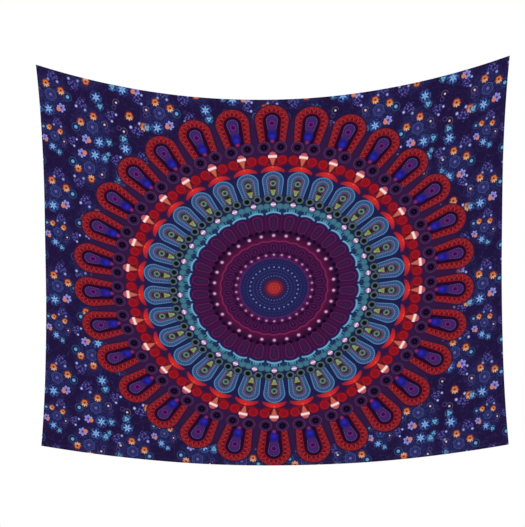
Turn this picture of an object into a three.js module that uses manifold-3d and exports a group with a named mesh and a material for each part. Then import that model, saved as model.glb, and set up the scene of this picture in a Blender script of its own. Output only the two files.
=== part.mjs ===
// A printed tapestry hung on a wall by a pin through each of its four corners.
//
// Frame, in millimetres: +X to the right as the print is seen, +Y into the wall, +Z up.
// The wall is the plane y = 0. The origin lies on it, midway between the two top corners.
//
// The cloth is described twice. Flat, a point is (across, down), both from 0 to 1, measured from the
// top left corner. Hung, that point is moved onto the outline that four sagging edges enclose, and
// stands off the wall by the depth of the cloth's slow swags.
import * as THREE from 'three';
import Module from 'manifold-3d';
import { mergeVertices } from 'three/addons/utils/BufferGeometryUtils.js';

// The flat cloth, cut and hemmed
const CLOTH_WIDTH = 1500;
const CLOTH_DROP = 1200;
const PANEL_THICKNESS = 0.5;
const HEM_WIDTH = 12;
const HEM_THICKNESS = 0.8;
const SEAM_INSET = 9;
const THREAD_WIDTH = 0.4;
const GAP = 0.3;

// The hung outline: where each corner is held, and how far each edge leaves the straight line
const CORNER_PLACES = {
  top_left: [-736, -14],
  top_right: [736, 14],
  bottom_left: [-719, -1198],
  bottom_right: [733, -1194],
};
const TOP_SAG = 124;
const BOTTOM_SAG = 63;
const LEFT_BOW = 22.5;
const RIGHT_BOW = 23.5;
const BOW_POWER = 2.6;

// The swags: how far they stand off the wall, and how the cloth lies flat near each corner
const SWAG_DEPTH = 13;
const SWAG_PITCH = 430;
const RIPPLE_PITCH = 610;
const HELD_FLAT_RADIUS = 90;
const RELEASED_RADIUS = 520;

// The pins
const PIN_INSET = 5;
const HEAD_RADIUS = 2.4;
const HEAD_HEIGHT = 3.6;
const NEEDLE_RADIUS = 0.5;
const NEEDLE_GRIP = 2;
const NEEDLE_REACH = 12;
const NEEDLE_POINT = 3;
const PIN_SIDES = 14;

// The care label, on the back in the lower left corner
const LABEL_WIDTH = 18;
const LABEL_DROP = 30;
const LABEL_INSET = 22;
const LABEL_THICKNESS = 0.3;
const LABEL_SEAM_WIDTH = 14;

// Layers, as depths in front of the wall where the cloth lies flat on it
const SEAM_BACK = { near: 0, far: THREAD_WIDTH };
const HEM_LAYER = { near: SEAM_BACK.far + GAP, far: SEAM_BACK.far + GAP + HEM_THICKNESS };
const PANEL_LAYER = { near: HEM_LAYER.far + GAP, far: HEM_LAYER.far + GAP + PANEL_THICKNESS };
const SEAM_FRONT = { near: PANEL_LAYER.far + GAP, far: PANEL_LAYER.far + GAP + THREAD_WIDTH };
const LABEL_LAYER = { near: PANEL_LAYER.near - GAP - LABEL_THICKNESS, far: PANEL_LAYER.near - GAP };
const LABEL_SEAM = { near: LABEL_LAYER.near - GAP - THREAD_WIDTH, far: LABEL_LAYER.near - GAP };

// Mesh spacing of the cloth
const FLAT_PATCH = 60;
const PANELS_ACROSS = 20;
const PANELS_DOWN = 16;

const printedCloth = new THREE.MeshStandardMaterial({ color: 0x3a2c62, roughness: 0.85, metalness: 0 });
const hemCloth = new THREE.MeshStandardMaterial({ color: 0x5a5178, roughness: 0.9, metalness: 0 });
const thread = new THREE.MeshStandardMaterial({ color: 0x241a45, roughness: 0.7, metalness: 0 });
const labelTape = new THREE.MeshStandardMaterial({ color: 0xeceae4, roughness: 0.75, metalness: 0 });
const headPlastic = new THREE.MeshStandardMaterial({ color: 0x221a3c, roughness: 0.3, metalness: 0 });
const steel = new THREE.MeshStandardMaterial({ color: 0xb9bcc2, roughness: 0.25, metalness: 1 });

const { lerp, smoothstep } = THREE.MathUtils;
const wasm = await Module();
wasm.setup();

const group = new THREE.Group();

function addPiece(name, geometry, material) {
  const piece = new THREE.Mesh(geometry, material);
  piece.name = name;
  group.add(piece);
  return piece;
}

// --- The hung surface -------------------------------------------------------------------------

function arch(share) {
  return 4 * share * (1 - share);
}

function bow(share) {
  return 1 - Math.abs(2 * share - 1) ** BOW_POWER;
}

function between(start, end, share) {
  return [lerp(start[0], end[0], share), lerp(start[1], end[1], share)];
}

// A Coons patch: the place (x, z) of a flat point inside the four sagging edges.
function hungPlace(across, down) {
  const { top_left, top_right, bottom_left, bottom_right } = CORNER_PLACES;
  const top = between(top_left, top_right, across);
  const bottom = between(bottom_left, bottom_right, across);
  const left = between(top_left, bottom_left, down);
  const right = between(top_right, bottom_right, down);
  top[1] -= TOP_SAG * arch(across);
  bottom[1] -= BOTTOM_SAG * arch(across);
  left[0] += LEFT_BOW * bow(down);
  right[0] -= RIGHT_BOW * bow(down);
  const corners = between(
    between(top_left, top_right, across),
    between(bottom_left, bottom_right, across),
    down,
  );
  return [0, 1].map(
    (axis) => lerp(top[axis], bottom[axis], down) + lerp(left[axis], right[axis], across) - corners[axis],
  );
}

// How far the cloth hangs clear of the wall: nothing at the held corners, slow swags elsewhere.
function standOff(across, down) {
  const x = across * CLOTH_WIDTH;
  const y = down * CLOTH_DROP;
  let freedom = 1;
  for (const cornerX of [0, CLOTH_WIDTH]) {
    for (const cornerY of [0, CLOTH_DROP]) {
      const reach = Math.hypot(x - cornerX, y - cornerY);
      freedom *= smoothstep(reach, HELD_FLAT_RADIUS, RELEASED_RADIUS);
    }
  }
  const swag = Math.sin((2 * Math.PI * y) / SWAG_PITCH + 1.1 * across);
  const ripple = Math.sin((2 * Math.PI * x) / RIPPLE_PITCH + 1.7 * down + 0.6);
  return SWAG_DEPTH * freedom * (0.5 + 0.26 * swag + 0.22 * ripple);
}

// --- Cloth pieces -----------------------------------------------------------------------------

// A closed sheet over a grid of flat points, between two depths in front of the wall.
function sheet(acrossLines, downLines, layer) {
  const positions = [];
  for (const depth of [layer.far, layer.near]) {
    for (const down of downLines) {
      for (const across of acrossLines) {
        const [x, z] = hungPlace(across, down);
        positions.push(x, -depth - standOff(across, down), z);
      }
    }
  }
  const columns = acrossLines.length;
  const rows = downLines.length;
  const back = columns * rows;
  const at = (column, row) => row * columns + column;
  const indices = [];
  const quad = (a, b, c, d) => indices.push(a, b, c, a, c, d);
  for (let row = 0; row + 1 < rows; row += 1) {
    for (let column = 0; column + 1 < columns; column += 1) {
      const [a, b] = [at(column, row + 1), at(column + 1, row + 1)];
      const [c, d] = [at(column + 1, row), at(column, row)];
      quad(a, b, c, d);
      indices.push(back + a, back + c, back + b, back + a, back + d, back + c);
    }
  }
  for (let column = 0; column + 1 < columns; column += 1) {
    const [a, b] = [at(column, 0), at(column + 1, 0)];
    const [c, d] = [at(column, rows - 1), at(column + 1, rows - 1)];
    quad(a, b, back + b, back + a);
    quad(d, c, back + c, back + d);
  }
  for (let row = 0; row + 1 < rows; row += 1) {
    const [a, b] = [at(0, row), at(0, row + 1)];
    const [c, d] = [at(columns - 1, row), at(columns - 1, row + 1)];
    quad(b, a, back + a, back + b);
    quad(c, d, back + d, back + c);
  }
  const geometry = new THREE.BufferGeometry();
  geometry.setAttribute('position', new THREE.Float32BufferAttribute(positions, 3));
  geometry.setIndex(indices);
  return geometry;
}

// Grid lines along one side of the cloth, as shares of its size: close together at the hems.
function gridLines(size, panels) {
  const lines = [0, (SEAM_INSET - 1) / size, HEM_WIDTH / size];
  const firstInner = FLAT_PATCH / size;
  for (let step = 0; step <= panels; step += 1) {
    lines.push(lerp(firstInner, 1 - firstInner, step / panels));
  }
  lines.push(1 - HEM_WIDTH / size, 1 - (SEAM_INSET - 1) / size, 1);
  return lines;
}

// The lines of a grid that lie inside a span, with the span's own ends.
function linesWithin(lines, start, end) {
  const clear = HEM_WIDTH / CLOTH_WIDTH / 10;
  return [start, ...lines.filter((line) => line > start + clear && line < end - clear), end];
}

const acrossLines = gridLines(CLOTH_WIDTH, PANELS_ACROSS);
const downLines = gridLines(CLOTH_DROP, PANELS_DOWN);

// --- Pins -------------------------------------------------------------------------------------

function pinPlace(corner) {
  const fromLeft = PIN_INSET / CLOTH_WIDTH;
  const fromTop = PIN_INSET / CLOTH_DROP;
  const across = corner.endsWith('left') ? fromLeft : 1 - fromLeft;
  const down = corner.startsWith('top') ? fromTop : 1 - fromTop;
  return hungPlace(across, down);
}

function turned(profile) {
  const points = profile.map(([radius, y]) => new THREE.Vector2(radius, y));
  return new THREE.LatheGeometry(points, PIN_SIDES);
}

// A ball-topped plastic head, with the blind hole that the needle is moulded into.
function headGeometry() {
  const seat = -PANEL_LAYER.far - GAP;
  const holeRadius = NEEDLE_RADIUS + GAP;
  const holeEnd = seat - NEEDLE_GRIP - GAP;
  const domeSteps = 5;
  const profile = [];
  for (let step = 0; step <= domeSteps; step += 1) {
    const angle = (step / domeSteps) * (Math.PI / 2);
    profile.push([HEAD_RADIUS * Math.sin(angle), seat - HEAD_HEIGHT + 2 * (1 - Math.cos(angle))]);
  }
  profile.push([HEAD_RADIUS * 0.85, seat], [holeRadius, seat], [holeRadius, holeEnd], [0, holeEnd]);
  return turned(profile);
}

function needleGeometry() {
  const start = -PANEL_LAYER.far - GAP - NEEDLE_GRIP;
  return turned([
    [0, start],
    [NEEDLE_RADIUS, start],
    [NEEDLE_RADIUS, NEEDLE_REACH - NEEDLE_POINT],
    [0, NEEDLE_REACH],
  ]);
}

// --- Holes in the cloth, cut as solids ------------------------------------------------------------

function toSolid(geometry) {
  const bare = geometry.clone();
  bare.deleteAttribute('normal');
  bare.deleteAttribute('uv');
  const merged = mergeVertices(bare);
  const vertProperties = new Float32Array(merged.attributes.position.array);
  const triVerts = new Uint32Array(merged.index.array);
  return new wasm.Manifold(new wasm.Mesh({ numProp: 3, vertProperties, triVerts }));
}

function toGeometry(solid) {
  const mesh = solid.getMesh();
  const geometry = new THREE.BufferGeometry();
  geometry.setAttribute('position', new THREE.BufferAttribute(mesh.vertProperties, 3));
  geometry.setIndex(new THREE.BufferAttribute(mesh.triVerts, 1));
  return geometry;
}

// The cloth geometry with a round hole for the needle at each of the named corners.
function pierced(geometry, corners) {
  let solid = toSolid(geometry);
  for (const corner of corners) {
    const [x, z] = pinPlace(corner);
    const punch = new THREE.CylinderGeometry(NEEDLE_RADIUS + GAP, NEEDLE_RADIUS + GAP, 20, PIN_SIDES);
    punch.translate(x, 0, z);
    solid = solid.subtract(toSolid(punch));
  }
  return toGeometry(solid);
}

// --- The assembly -----------------------------------------------------------------------------

function addPanel() {
  const geometry = sheet(acrossLines, downLines, PANEL_LAYER);
  addPiece('cloth_panel', pierced(geometry, Object.keys(CORNER_PLACES)), printedCloth);
}

// The top and bottom hems run the full width; the side hems fit between them.
function addHems() {
  const hemDown = HEM_WIDTH / CLOTH_DROP;
  const hemAcross = HEM_WIDTH / CLOTH_WIDTH;
  const sideStart = (HEM_WIDTH + GAP) / CLOTH_DROP;
  const topHem = sheet(acrossLines, linesWithin(downLines, 0, hemDown), HEM_LAYER);
  const bottomHem = sheet(acrossLines, linesWithin(downLines, 1 - hemDown, 1), HEM_LAYER);
  addPiece('hem_top', pierced(topHem, ['top_left', 'top_right']), hemCloth);
  addPiece('hem_bottom', pierced(bottomHem, ['bottom_left', 'bottom_right']), hemCloth);
  const sideLines = linesWithin(downLines, sideStart, 1 - sideStart);
  addPiece('hem_left', sheet(linesWithin(acrossLines, 0, hemAcross), sideLines, HEM_LAYER), hemCloth);
  addPiece('hem_right', sheet(linesWithin(acrossLines, 1 - hemAcross, 1), sideLines, HEM_LAYER), hemCloth);
}

// One thread of one hem's seam; the side threads stop short of the top and bottom ones.
function addSeam(prefix, layer) {
  const halfAcross = THREAD_WIDTH / 2 / CLOTH_WIDTH;
  const halfDown = THREAD_WIDTH / 2 / CLOTH_DROP;
  const insetAcross = SEAM_INSET / CLOTH_WIDTH;
  const insetDown = SEAM_INSET / CLOTH_DROP;
  const rowSpan = linesWithin(acrossLines, insetAcross / 2, 1 - insetAcross / 2);
  const sideStart = insetDown + halfDown + GAP / CLOTH_DROP;
  const sideSpan = linesWithin(downLines, sideStart, 1 - sideStart);
  for (const [side, down] of [['top', insetDown], ['bottom', 1 - insetDown]]) {
    addPiece(`${prefix}_${side}`, sheet(rowSpan, [down - halfDown, down + halfDown], layer), thread);
  }
  for (const [side, across] of [['left', insetAcross], ['right', 1 - insetAcross]]) {
    addPiece(`${prefix}_${side}`, sheet([across - halfAcross, across + halfAcross], sideSpan, layer), thread);
  }
}

function addLabel() {
  const centre = LABEL_INSET + LABEL_WIDTH / 2;
  const bottom = CLOTH_DROP - HEM_WIDTH - GAP;
  const spanAcross = (width) => [(centre - width / 2) / CLOTH_WIDTH, (centre + width / 2) / CLOTH_WIDTH];
  const spanDown = [(bottom - LABEL_DROP) / CLOTH_DROP, bottom / CLOTH_DROP];
  addPiece('care_label', sheet(spanAcross(LABEL_WIDTH), spanDown, LABEL_LAYER), labelTape);
  const seam = bottom - THREAD_WIDTH * 5;
  const seamDown = [(seam - THREAD_WIDTH) / CLOTH_DROP, seam / CLOTH_DROP];
  addPiece('label_thread', sheet(spanAcross(LABEL_SEAM_WIDTH), seamDown, LABEL_SEAM), thread);
}

function addPins() {
  for (const corner of Object.keys(CORNER_PLACES)) {
    const [x, z] = pinPlace(corner);
    addPiece(`pin_head_${corner}`, headGeometry(), headPlastic).position.set(x, 0, z);
    addPiece(`pin_needle_${corner}`, needleGeometry(), steel).position.set(x, 0, z);
  }
}

addPanel();
addHems();
addSeam('needle_thread', SEAM_FRONT);
addSeam('bobbin_thread', SEAM_BACK);
addLabel();
addPins();

export default group;
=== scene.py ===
"""A printed tapestry, hung by its corners: cloth, hems, seams, label, pins and a plain studio.

Everything is in metres in the frame of the CAD model: +X to the right as the print is seen, +Y into
the wall, +Z up, with the wall at y = 0. A place on the flat cloth is (across, down), each from 0 to
1, counted from the top left corner.
"""
import math

import bmesh
import bpy
import numpy as np
from bpy.props import FloatProperty, FloatVectorProperty, IntProperty, PointerProperty
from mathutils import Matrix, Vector


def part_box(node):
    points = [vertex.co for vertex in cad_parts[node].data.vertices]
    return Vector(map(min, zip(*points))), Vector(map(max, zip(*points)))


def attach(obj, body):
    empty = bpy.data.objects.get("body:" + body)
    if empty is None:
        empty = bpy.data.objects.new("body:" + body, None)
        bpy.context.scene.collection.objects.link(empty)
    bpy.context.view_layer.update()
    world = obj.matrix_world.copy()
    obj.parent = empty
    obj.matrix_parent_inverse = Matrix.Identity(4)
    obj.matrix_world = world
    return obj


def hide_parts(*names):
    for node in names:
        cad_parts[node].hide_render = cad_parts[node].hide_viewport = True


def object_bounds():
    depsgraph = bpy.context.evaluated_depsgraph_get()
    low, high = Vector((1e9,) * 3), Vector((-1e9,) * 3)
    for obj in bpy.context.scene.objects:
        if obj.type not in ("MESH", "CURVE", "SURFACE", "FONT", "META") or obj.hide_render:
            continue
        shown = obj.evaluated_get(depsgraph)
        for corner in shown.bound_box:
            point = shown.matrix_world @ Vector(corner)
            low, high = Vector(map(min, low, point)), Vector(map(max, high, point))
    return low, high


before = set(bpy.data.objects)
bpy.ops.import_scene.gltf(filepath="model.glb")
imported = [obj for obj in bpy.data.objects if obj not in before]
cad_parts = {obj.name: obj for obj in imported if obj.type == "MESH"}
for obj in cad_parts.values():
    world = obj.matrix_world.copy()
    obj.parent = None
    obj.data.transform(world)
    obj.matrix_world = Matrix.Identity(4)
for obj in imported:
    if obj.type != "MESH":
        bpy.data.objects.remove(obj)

CAD_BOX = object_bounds()

bl_info = {
    "name": "Hung Tapestry",
    "version": (1, 0, 0),
    "blender": (4, 5, 0),
    "location": "View3D > Sidebar > Tapestry",
    "description": "Makes a printed tapestry with its hems, seams, label and pins",
    "category": "Add Mesh",
}

MM = 0.001
BODY = "root"

# The print on the flat cloth: its size, how far it is stretched at the top, and how much less the
# rows of its ground sag than its edges do, as shares of its height.
PRINT_WIDTH = 1.5
PRINT_DROP = 1.2
PRINT_STRETCH = 0.0592
ROW_SAG = 0.020

CORNERS = ("top_left", "top_right", "bottom_left", "bottom_right")
SIDES = ("top", "bottom", "left", "right")


# --- Settings ------------------------------------------------------------------------------------


class TapestryCloth(bpy.types.PropertyGroup):
    width: FloatProperty(
        name="Width", description="Width of the flat cloth", default=1.5, min=0.3, unit="LENGTH"
    )
    drop: FloatProperty(
        name="Drop", description="Height of the flat cloth", default=1.2, min=0.3, unit="LENGTH"
    )
    top_sag: FloatProperty(
        name="Top Sag", description="How far the top edge hangs below its corners",
        default=0.124, unit="LENGTH",
    )
    bottom_sag: FloatProperty(
        name="Bottom Sag", description="How far the bottom edge hangs below its corners",
        default=0.063, unit="LENGTH",
    )
    left_bow: FloatProperty(
        name="Left Bow", description="How far the left edge pulls in", default=0.0225, unit="LENGTH"
    )
    right_bow: FloatProperty(
        name="Right Bow", description="How far the right edge pulls in", default=0.0235, unit="LENGTH"
    )
    swag_depth: FloatProperty(
        name="Swag Depth", description="How far the cloth hangs clear of the wall",
        default=0.013, unit="LENGTH",
    )
    fold_depth: FloatProperty(
        name="Fold Depth", description="Depth of the folds that fan out from the corners",
        default=0.0022, unit="LENGTH",
    )
    thickness: FloatProperty(
        name="Thickness", description="Thickness of the cloth", default=0.0005, unit="LENGTH"
    )
    hem_width: FloatProperty(
        name="Hem Width", description="Width of the turned hem", default=0.012, unit="LENGTH"
    )
    columns: IntProperty(name="Columns", description="Faces across the cloth", default=220, min=20)
    rows: IntProperty(name="Rows", description="Faces down the cloth", default=176, min=20)


class TapestryPrint(bpy.types.PropertyGroup):
    ground: FloatVectorProperty(
        name="Ground", description="Colour of the dark ground", subtype="COLOR",
        default=(0.0135, 0.0065, 0.0430),
    )
    rim_petal: FloatVectorProperty(
        name="Rim Petal", description="Colour of the outer petals", subtype="COLOR",
        default=(0.205, 0.0103, 0.0190),
    )
    middle_petal: FloatVectorProperty(
        name="Middle Petal", description="Colour of the blue petals", subtype="COLOR",
        default=(0.062, 0.128, 0.255),
    )


class TapestrySewing(bpy.types.PropertyGroup):
    inset: FloatProperty(
        name="Seam Inset", description="Distance of the seam from the edge",
        default=0.009, unit="LENGTH",
    )
    stitch_pitch: FloatProperty(
        name="Stitch Pitch", description="Distance from one stitch to the next",
        default=0.0031, unit="LENGTH",
    )
    stitch_length: FloatProperty(
        name="Stitch Length", description="Length of thread seen in one stitch",
        default=0.0026, unit="LENGTH",
    )
    thread: FloatProperty(
        name="Thread", description="Thickness of the sewing thread", default=0.0004, unit="LENGTH"
    )


class TapestryPins(bpy.types.PropertyGroup):
    sides: IntProperty(name="Sides", description="Faces round a pin", default=32, min=8)


class TapestryStudio(bpy.types.PropertyGroup):
    floor_drop: FloatProperty(
        name="Floor Drop", description="Height of the floor below the lowest edge",
        default=0.9, unit="LENGTH",
    )
    floor_size: FloatProperty(
        name="Floor Size", description="Width of the pale floor", default=2.6, unit="LENGTH"
    )
    camera_distance: FloatProperty(
        name="Camera Distance", description="Distance of the camera from the wall",
        default=6.0, unit="LENGTH",
    )
    field: FloatProperty(
        name="Field", description="Height of the view where the cloth hangs",
        default=1.637, unit="LENGTH",
    )


# --- The hung surface ----------------------------------------------------------------------------

BOW_POWER = 2.6
SWAG_PITCH = 0.430
RIPPLE_PITCH = 0.610
SWAG_SHARE = 0.26
RIPPLE_SHARE = 0.22
HELD_FLAT_RADIUS = 0.090
RELEASED_RADIUS = 0.520
PANEL_BACK_DEPTH = 0.0018
FOLDS_START = 0.04
FOLDS_FULL = 0.20
# Each held corner: its place as shares of the flat cloth, its number of folds, and their reach.
CORNER_FOLDS = ((0, 0, 5, 0.62), (1, 0, 6, 0.56), (0, 1, 4, 0.34), (1, 1, 5, 0.42))


def tips():
    """The four corner tips of the cloth in the frame, as (x, z)."""
    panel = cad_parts["cloth_panel"].data
    places = np.empty(len(panel.vertices) * 3)
    panel.vertices.foreach_get("co", places)
    x, _, z = places.reshape(-1, 3).T
    reach = {"top_left": z - x, "top_right": z + x, "bottom_left": -z - x, "bottom_right": x - z}
    return {corner: np.array([x[far.argmax()], z[far.argmax()]]) for corner, far in reach.items()}


TIPS = tips()


def between(start, end, share):
    return start + (end - start) * share[..., None]


def hung_place(across, down):
    """The (x, z) that a flat place hangs at: a Coons patch inside the four sagging edges."""
    cloth = bpy.context.scene.tapestry_cloth
    top = between(TIPS["top_left"], TIPS["top_right"], across)
    bottom = between(TIPS["bottom_left"], TIPS["bottom_right"], across)
    left = between(TIPS["top_left"], TIPS["bottom_left"], down)
    right = between(TIPS["top_right"], TIPS["bottom_right"], down)
    straight = top + (bottom - top) * down[..., None]
    arch = 4 * across * (1 - across)
    bow = 1 - np.abs(2 * down - 1) ** BOW_POWER
    top[..., 1] -= cloth.top_sag * arch
    bottom[..., 1] -= cloth.bottom_sag * arch
    left[..., 0] += cloth.left_bow * bow
    right[..., 0] -= cloth.right_bow * bow
    vertical = top + (bottom - top) * down[..., None]
    horizontal = left + (right - left) * across[..., None]
    return vertical + horizontal - straight


def smoothstep(value, low, high):
    share = np.clip((value - low) / (high - low), 0, 1)
    return share * share * (3 - 2 * share)


def stand_off(across, down):
    """How far the cloth hangs clear of the wall: nothing at the held corners, slow swags elsewhere."""
    cloth = bpy.context.scene.tapestry_cloth
    x = across * cloth.width
    y = down * cloth.drop
    freedom = np.ones_like(x)
    for corner_x in (0, cloth.width):
        for corner_y in (0, cloth.drop):
            reach = np.hypot(x - corner_x, y - corner_y)
            freedom *= smoothstep(reach, HELD_FLAT_RADIUS, RELEASED_RADIUS)
    swag = np.sin(2 * math.pi * y / SWAG_PITCH + 1.1 * across)
    ripple = np.sin(2 * math.pi * x / RIPPLE_PITCH + 1.7 * down + 0.6)
    slow = cloth.swag_depth * freedom * (0.5 + SWAG_SHARE * swag + RIPPLE_SHARE * ripple)
    return slow + corner_folds(x, y)


def corner_folds(x, y):
    """Faint folds that fan out from each held corner and die away into the cloth."""
    cloth = bpy.context.scene.tapestry_cloth
    depth = np.zeros_like(x)
    for corner_x, corner_y, folds, reach in CORNER_FOLDS:
        away_x = np.abs(x - corner_x * cloth.width)
        away_y = np.abs(y - corner_y * cloth.drop)
        away = np.hypot(away_x, away_y)
        fan = np.arctan2(away_y, away_x)
        wave = 0.5 - 0.5 * np.cos(4 * folds * fan + 1.6 * np.sin(3 * fan))
        fade = smoothstep(away, FOLDS_START, FOLDS_FULL) * (1 - smoothstep(away, FOLDS_FULL, reach))
        depth += cloth.fold_depth * wave * fade
    return depth


def on_cloth(across, down, depth):
    """Places in space for flat places, at a depth in front of the wall where the cloth lies flat."""
    place = hung_place(across, down)
    y = -depth - stand_off(across, down)
    return np.stack([place[..., 0], y, place[..., 1]], axis=-1)


def grid(across_lines, down_lines):
    down, across = np.meshgrid(down_lines, across_lines, indexing="ij")
    return across, down


# --- Mesh helpers --------------------------------------------------------------------------------


def link(name, data):
    """Puts data in the scene, at the origin, as an object of its own."""
    piece = bpy.data.objects.new(name, data)
    bpy.context.scene.collection.objects.link(piece)
    return piece


def finish_piece(name, mesh, materials, smooth=True):
    """Links a mesh as one piece, with its materials and smooth faces."""
    piece = link(name, mesh)
    for material in materials:
        mesh.materials.append(material)
    for face in mesh.polygons:
        face.use_smooth = smooth
    return piece


def declare(piece, slot, *nodes):
    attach(piece, BODY)
    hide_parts(*nodes)
    return piece


def sheet_mesh(name, across_lines, down_lines, back_depth, front_depth):
    """A closed sheet over a grid of flat places, with a UV map of where each lies on the flat cloth.

    The faces of the back have material index 1, and the rest index 0. A depth is a number or an
    array over the grid.
    """
    across, down = grid(across_lines, down_lines)
    rows, columns = across.shape
    front = on_cloth(across, down, front_depth).reshape(-1, 3)
    back = on_cloth(across, down, back_depth).reshape(-1, 3)
    index = np.arange(rows * columns).reshape(rows, columns)
    a, b = index[1:, :-1], index[1:, 1:]
    c, d = index[:-1, 1:], index[:-1, :-1]
    front_faces = np.stack([a, b, c, d], axis=-1).reshape(-1, 4)
    back_faces = np.stack([a, d, c, b], axis=-1).reshape(-1, 4) + rows * columns
    loop = np.concatenate([index[0, :-1], index[:-1, -1], index[-1, :0:-1], index[:0:-1, 0]])
    after = np.roll(loop, -1)
    far = rows * columns
    edge_faces = np.stack([loop, after, after + far, loop + far], axis=-1)
    faces = np.concatenate([front_faces, edge_faces, back_faces])
    mesh = bpy.data.meshes.new(name)
    mesh.from_pydata(np.concatenate([front, back]).tolist(), [], faces.tolist())
    sides = np.zeros(len(faces), dtype=np.int32)
    sides[-len(back_faces):] = 1
    mesh.polygons.foreach_set("material_index", sides)
    corners = np.empty(len(mesh.loops), dtype=np.int32)
    mesh.loops.foreach_get("vertex_index", corners)
    printed = print_down(down)
    flat = np.stack([across, 1 - printed], axis=-1)
    for layer_name, places in (("flat_cloth", flat), ("round_pattern", round_place(across, printed))):
        layer = mesh.uv_layers.new(name=layer_name)
        places = places.reshape(-1, 2)
        places = np.concatenate([places, places])
        layer.data.foreach_set("uv", places[corners].ravel())
    mesh.update()
    return mesh


def print_down(down):
    """Where on the print a height on the cloth falls: the print is stretched a little at the top."""
    stretch = PRINT_STRETCH
    return down - stretch * down * (1 - down) / (1 + stretch * (1 - 2 * down))


def round_place(across, printed):
    """Where on the round pattern each place falls: 0 at its middle, 1 away at the petal tips.

    The round pattern lies a few millimetres off the grain, as the cloth is pulled unevenly. aside
    and below are how far off it lies, in millimetres.
    """
    x = 2 * across - 1
    y = 2 * printed - 1
    aside = -1 - 8.5 * x - 5 * x * y + 5.4 * y * y + 5.3 * x * y * y + 16 * x**3
    below = 15.4 * x + 10.8 * y - 21 * x * x - 17 * x * y - 9 * y * y
    below += 19.7 * x * x * y - 8.1 * y**3 - 16 * x * y * y - 23.8 * x**3
    sideways = ((across - 0.5) * PRINT_WIDTH + aside * MM) / RIM_RADII[0]
    upwards = ((0.5 - printed) * PRINT_DROP - below * MM) / RIM_RADII[1]
    return np.stack([sideways, upwards], axis=-1)


def turned_mesh(name, profile, place, sides):
    """A solid turned about the Y axis through place, from (radius, y) points that end on the axis."""
    bm = bmesh.new()
    rings = []
    for radius, y in profile:
        count = sides if radius > 0 else 1
        ring = []
        for step in range(count):
            angle = 2 * math.pi * step / sides
            offset = Vector((radius * math.cos(angle), y, radius * math.sin(angle)))
            ring.append(bm.verts.new(Vector((place[0], 0, place[1])) + offset))
        rings.append(ring)
    for first, second in zip(rings, rings[1:]):
        for step in range(sides):
            corners = []
            for ring, at in ((first, step), (first, step + 1), (second, step + 1), (second, step)):
                corner = ring[at % len(ring)]
                if corner not in corners:
                    corners.append(corner)
            bm.faces.new(corners)
    bmesh.ops.recalc_face_normals(bm, faces=bm.faces)
    mesh = bpy.data.meshes.new(name)
    bm.to_mesh(mesh)
    bm.free()
    return mesh


# --- Drawing with shader nodes -------------------------------------------------------------------


# How far a mask blends at its edge, as a share of the round pattern and in millimetres of ground.
SOFT = 0.0026
SOFT_MM = 1.6


def srgb(red, green, blue):
    """A screen colour in steps of 0 to 255, as the linear colour that shaders use."""
    steps = [value / 255 for value in (red, green, blue)]
    linear = [v / 12.92 if v <= 0.04045 else ((v + 0.055) / 1.055) ** 2.4 for v in steps]
    return (*linear, 1.0)


class Wire:
    """A value in a shader tree, which can be added, multiplied and passed on like a number."""

    def __init__(self, tree, socket):
        self.tree = tree
        self.socket = socket

    def math(self, operation, *others, clamp=False):
        node = self.tree.nodes.new("ShaderNodeMath")
        node.operation = operation
        node.use_clamp = clamp
        for socket, value in zip(node.inputs, (self, *others)):
            feed(socket, value)
        return Wire(self.tree, node.outputs[0])

    def vector(self, operation, *others, output=0):
        node = self.tree.nodes.new("ShaderNodeVectorMath")
        node.operation = operation
        for socket, value in zip(node.inputs, (self, *others)):
            feed(socket, value)
        return Wire(self.tree, node.outputs[output])

    def __add__(self, other):
        return self.math("ADD", other)

    def __sub__(self, other):
        return self.math("SUBTRACT", other)

    def __rsub__(self, other):
        return self.math("MULTIPLY_ADD", -1.0, other)

    def __mul__(self, other):
        return self.math("MULTIPLY", other)

    def __truediv__(self, other):
        return self.math("DIVIDE", other)

    __radd__ = __add__
    __rmul__ = __mul__

    def parts(self):
        node = self.tree.nodes.new("ShaderNodeSeparateXYZ")
        feed(node.inputs[0], self)
        return [Wire(self.tree, node.outputs[axis]) for axis in range(2)]

    def moved(self, x, y):
        """This vector measured from another place."""
        return self.vector("SUBTRACT", (x, y, 0))

    def length(self):
        return self.vector("LENGTH", output=1)

    def away(self, out, aside=None):
        """The distance from the point out along the line; aside is how much a sideways step counts."""
        place = self.moved(0, out)
        if aside is not None:
            place = place.vector("MULTIPLY", (aside, 1, 1))
        return place.length()

    def inside(self, edge, soft=SOFT):
        """1 where this distance is less than edge, 0 where it is more, blended over soft."""
        if isinstance(edge, Wire):
            return (edge - self).math("MULTIPLY_ADD", 1 / soft, 0.5, clamp=True)
        return self.math("MULTIPLY_ADD", -1 / soft, edge / soft + 0.5, clamp=True)

    def near(self, middle, reach, soft=SOFT):
        """1 where this value lies within reach of middle."""
        return (self - middle).math("ABSOLUTE").inside(reach, soft)


def feed(socket, value):
    if isinstance(value, Wire):
        value.tree.links.new(value.socket, socket)
    else:
        socket.default_value = value


def join_xy(x, y):
    node = x.tree.nodes.new("ShaderNodeCombineXYZ")
    feed(node.inputs[0], x)
    feed(node.inputs[1], y)
    return Wire(x.tree, node.outputs[0])


def pick(tree, factor, first, second, kind="RGBA"):
    """first where factor is 0 and second where it is 1, as colours or as vectors."""
    node = tree.nodes.new("ShaderNodeMix")
    node.data_type = kind
    first_socket, result = {"RGBA": (6, 2), "VECTOR": (4, 1)}[kind]
    feed(node.inputs[0], factor)
    feed(node.inputs[first_socket], first)
    feed(node.inputs[first_socket + 1], second)
    return Wire(tree, node.outputs[result])


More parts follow.
